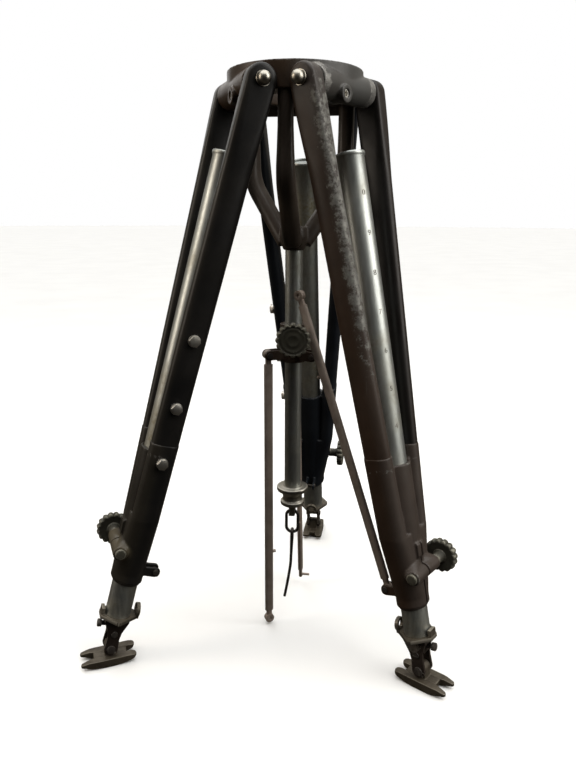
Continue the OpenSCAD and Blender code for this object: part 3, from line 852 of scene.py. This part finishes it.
def clamp_knob_piece(side, hand):
    """A leg's clamp screw with its hand wheel on one side and a plain head on the other."""
    wheel_at = LUG_HALF + 16 * MM
    gap = 0.4 * MM
    screw_r, stem_r = 4 * MM, 7.5 * MM
    stem = lathe("stem", [(screw_r, -LUG_HALF - 2 * MM), (screw_r, LUG_HALF), (6.6 * MM, LUG_HALF + gap),
                          (stem_r, LUG_HALF + 1.4 * MM), (stem_r, wheel_at - 4 * MM),
                          (8.4 * MM, wheel_at - 1 * MM), (10.5 * MM, wheel_at + 2 * MM)], 48)
    far_end = Matrix.Translation((0, 0, -LUG_HALF - gap)) @ Matrix.Rotation(math.pi, 4, "X")
    tip = place(screw_head(stem_r, 3 * MM), far_end)
    disc = place(wheel("disc"), Matrix.Translation((0, 0, wheel_at)))
    at = LEG[side] @ Matrix.Translation((CLAMP_OUT, 0, -CLAMP_AT)) @ along_hinge(hand)
    obj = place(join(f"{side}_clamp_knob_piece", [stem, tip, disc]), at)
    shade(obj, 50)
    set_wear(obj, lambda p: 0.12)
    return finish_piece(obj, f"knob_{side}", "knob_metal", f"{side}_clamp_knob")


def collar_knob_piece():
    """The collar's clamp screw, which points away from the column."""
    wheel_at = 50 * MM
    screw_r, stem_r = 4 * MM, 7 * MM
    stem = lathe("stem", [(screw_r, 13 * MM), (screw_r, 34 * MM), (6.2 * MM, 34.4 * MM),
                          (stem_r, 35.2 * MM), (stem_r, 47 * MM), (8.4 * MM, 49.4 * MM),
                          (10.5 * MM, 52 * MM)], 48)
    disc = place(wheel("disc"), Matrix.Translation((0, 0, wheel_at)))
    drop = Matrix.Translation((0, 0, -COLLAR_KNOB_DROP))
    outward = Matrix.Rotation(math.pi / 2, 4, "Y")
    at = Matrix.Rotation(COLLAR_KNOB_AZ, 4, "Z") @ drop @ outward
    obj = place(join("collar_knob_piece", [stem, disc]), at)
    shade(obj, 50)
    set_wear(obj, lambda p: 0.12)
    return finish_piece(obj, "collar_knob", "knob_metal", "collar_knob")


# ---- spreader, link and hook ----

def collar_piece():
    obj = cast(copy_of("collar", "collar_piece"), 0.8 * MM, 3)
    set_wear(obj, lambda p: 0.1)
    return finish_piece(obj, "collar", SLOT_OF["collar"], "collar")


def hook_piece():
    """A bent rod hanging by a flattened eye."""
    eye_z = -651.4 * MM
    eye_r = 4.9 * MM
    eye_wire, eye_flat = 1.6 * MM, 2.2 * MM
    rings = []
    steps = 40
    for k in range(steps):
        a = 2 * math.pi * k / steps
        middle = Vector((0, eye_r * math.cos(a), eye_r * math.sin(a)))
        out = middle.normalized()
        rings.append([middle + out * away + Vector((across, 0, 0))
                      for away, across in round_section(eye_wire, eye_flat, 16)])
    bm = bmesh.new()
    loops = [[bm.verts.new(p) for p in ring] for ring in rings]
    for k in range(steps):
        bridge(bm, loops[k], loops[(k + 1) % steps])
    eye = from_bmesh("eye", bm)
    path, sections = [], []
    length = 114 * MM
    rod_r, swell_x, swell_y, taper = 2.35, 0.5, 1.3, 0.15
    for k in range(25):
        t = k / 24
        s = 5 * MM + (length - 5 * MM) * t
        lean = math.radians(2) * s + math.radians(7) * max(s - 52 * MM, 0) ** 1.25 / (62 * MM) ** 0.25
        path.append(Vector((-lean, 0, -s)))
        flat = blend_value(1.0, 0.0, t / 0.3)
        half_x = (rod_r + swell_x * flat - taper * t) * MM
        half_y = (rod_r + swell_y * flat - taper * t) * MM
        sections.append(round_section(half_y, half_x, 20))
    rod = sweep("rod", path, sections)
    obj = join("hook_piece", [eye, rod])
    place(obj, Matrix.Translation((0, 0, eye_z)))
    cast(obj, 0.55 * MM, 3)
    return finish_piece(obj, "hook", "dark_steel", "hook")


# ---- assembly ----

head = refine("head_ring", cast, 1.1 * MM, 4)
set_wear(head, worn_boss)
set_tone(head, head_tone)
cage_piece()
column_foot_piece()
refine("drag_screws", machined, 0.5 * MM)
KNOB_HAND = {"right": 1, "left": -1, "back": -1}
for leg in SIDES:
    outer_tube_piece(leg, "a", 1)
    outer_tube_piece(leg, "b", -1)
    casting_piece(leg)
    dome_nuts_piece(leg)
    inner_tube_piece(leg)
    clamp_knob_piece(leg, KNOB_HAND[leg])
    refine(f"{leg}_side_screws", machined, 0.5 * MM)
    refine(f"{leg}_spur_plate", machined, 0.8 * MM, 3)
    refine(f"{leg}_yoke", machined, 0.8 * MM, 3)
    refine(f"{leg}_yoke_pins", machined, 0.5 * MM)
    refine(f"{leg}_bracket_pin", machined, 0.4 * MM)
    refine(f"{leg}_claw_foot", cast, 0.7 * MM, 3)
number_marks("right")
collar_piece()
refine("collar_pins", machined, 0.4 * MM)
collar_knob_piece()
for strut in ("strut_left", "strut_back", "strut_loose"):
    refine(strut, machined, 0.8 * MM, 3)
hook_piece()


# ---- floor and light ----

def add_floor():
    """Pale floor that turns into the pale surroundings far from the stand."""
    bm = bmesh.new()
    bmesh.ops.create_circle(bm, cap_ends=True, radius=30.0, segments=96)
    for v in bm.verts:
        v.co.z = FLOOR_Z
    floor = from_bmesh("floor", bm)
    s = Shader("pale_floor", Roughness=0.75)
    grain = s.noise(3.0, 4.0, 0.5)
    s.to("Base Color", s.mix(s.ramp(grain, 0.3, 0.7), (0.80, 0.80, 0.79), (0.84, 0.84, 0.83)))
    floor.data.materials.append(s.mat)
    floor.visible_glossy = False
    floor.visible_diffuse = False


def add_light(name, place_at, size, power, colour=(1, 1, 1), aim_at=(0, 0, -0.35)):
    data = bpy.data.lights.new(name, "AREA")
    data.shape = "RECTANGLE"
    data.size, data.size_y = size
    data.energy = power
    data.color = colour
    lamp = bpy.data.objects.new(name, data)
    bpy.context.scene.collection.objects.link(lamp)
    aim = Vector(aim_at) - Vector(place_at)
    lamp.matrix_world = Matrix.Translation(place_at) @ aim.to_track_quat("-Z", "Y").to_matrix().to_4x4()


def add_sky_light(strength, spread_deg):
    """Even, very soft light from above, which keeps the floor pale out to its edge."""
    data = bpy.data.lights.new("above", "SUN")
    data.energy = strength
    data.angle = math.radians(spread_deg)
    lamp = bpy.data.objects.new("above", data)
    bpy.context.scene.collection.objects.link(lamp)


def add_world():
    """A dim brown room for the metal to reflect, behind it a plain white backdrop for the camera."""
    world = bpy.data.worlds.new("room")
    world.use_nodes = True
    tree = world.node_tree

    def node(kind):
        return tree.nodes.new(kind)

    def map_range(value, *ends):
        n = node("ShaderNodeMapRange")
        for socket, end in zip(("From Min", "From Max", "To Min", "To Max"), ends):
            n.inputs[socket].default_value = end
        tree.links.new(value, n.inputs["Value"])
        return n.outputs[0]

    room = tree.nodes["Background"]
    coord = node("ShaderNodeTexCoord")
    split = node("ShaderNodeSeparateXYZ")
    tree.links.new(coord.outputs["Generated"], split.inputs[0])
    height = map_range(split.outputs["Z"], -1.0, 1.0)
    ramp = node("ShaderNodeValToRGB")
    stops = ((0.0, (0.05, 0.043, 0.033)), (0.42, (0.08, 0.068, 0.052)), (0.5, (0.16, 0.142, 0.115)),
             (0.6, (0.34, 0.315, 0.27)), (1.0, (0.5, 0.48, 0.44)))
    while len(ramp.color_ramp.elements) < len(stops):
        ramp.color_ramp.elements.new(0.5)
    for element, (at, colour) in zip(ramp.color_ramp.elements, stops):
        element.position = at
        element.color = (*colour, 1)
    tree.links.new(height, ramp.inputs[0])
    patches = node("ShaderNodeTexNoise")
    patches.inputs["Scale"].default_value = 1.7
    patches.inputs["Detail"].default_value = 2.0
    tree.links.new(coord.outputs["Generated"], patches.inputs["Vector"])
    share = map_range(patches.outputs["Fac"], 0.36, 0.62, 0.25, 1.15)
    front = map_range(split.outputs["Y"], -0.85, 0.05, 0.12, 1.0)
    strength = node("ShaderNodeMath")
    strength.operation = "MULTIPLY"
    tree.links.new(share, strength.inputs[0])
    tree.links.new(front, strength.inputs[1])
    tree.links.new(ramp.outputs[0], room.inputs["Color"])
    tree.links.new(strength.outputs[0], room.inputs["Strength"])
    backdrop = node("ShaderNodeBackground")
    backdrop.inputs["Color"].default_value = (1, 1, 1, 1)
    choose = node("ShaderNodeMixShader")
    tree.links.new(node("ShaderNodeLightPath").outputs["Is Camera Ray"], choose.inputs[0])
    tree.links.new(room.outputs[0], choose.inputs[1])
    tree.links.new(backdrop.outputs[0], choose.inputs[2])
    tree.links.new(choose.outputs[0], tree.nodes["World Output"].inputs["Surface"])
    bpy.context.scene.world = world


add_floor()
add_light("window", (2.1, -0.5, 0.8), (1.8, 2.2), 46, (1.0, 0.98, 0.94))
add_light("lamp", (-2.0, -0.7, 0.5), (0.6, 1.7), 16, (1.0, 0.88, 0.75))
add_light("behind", (-1.2, 1.6, 0.8), (0.8, 1.4), 4)
add_sky_light(3.2, 84)
add_world()
bpy.context.scene.view_settings.view_transform = "Standard"
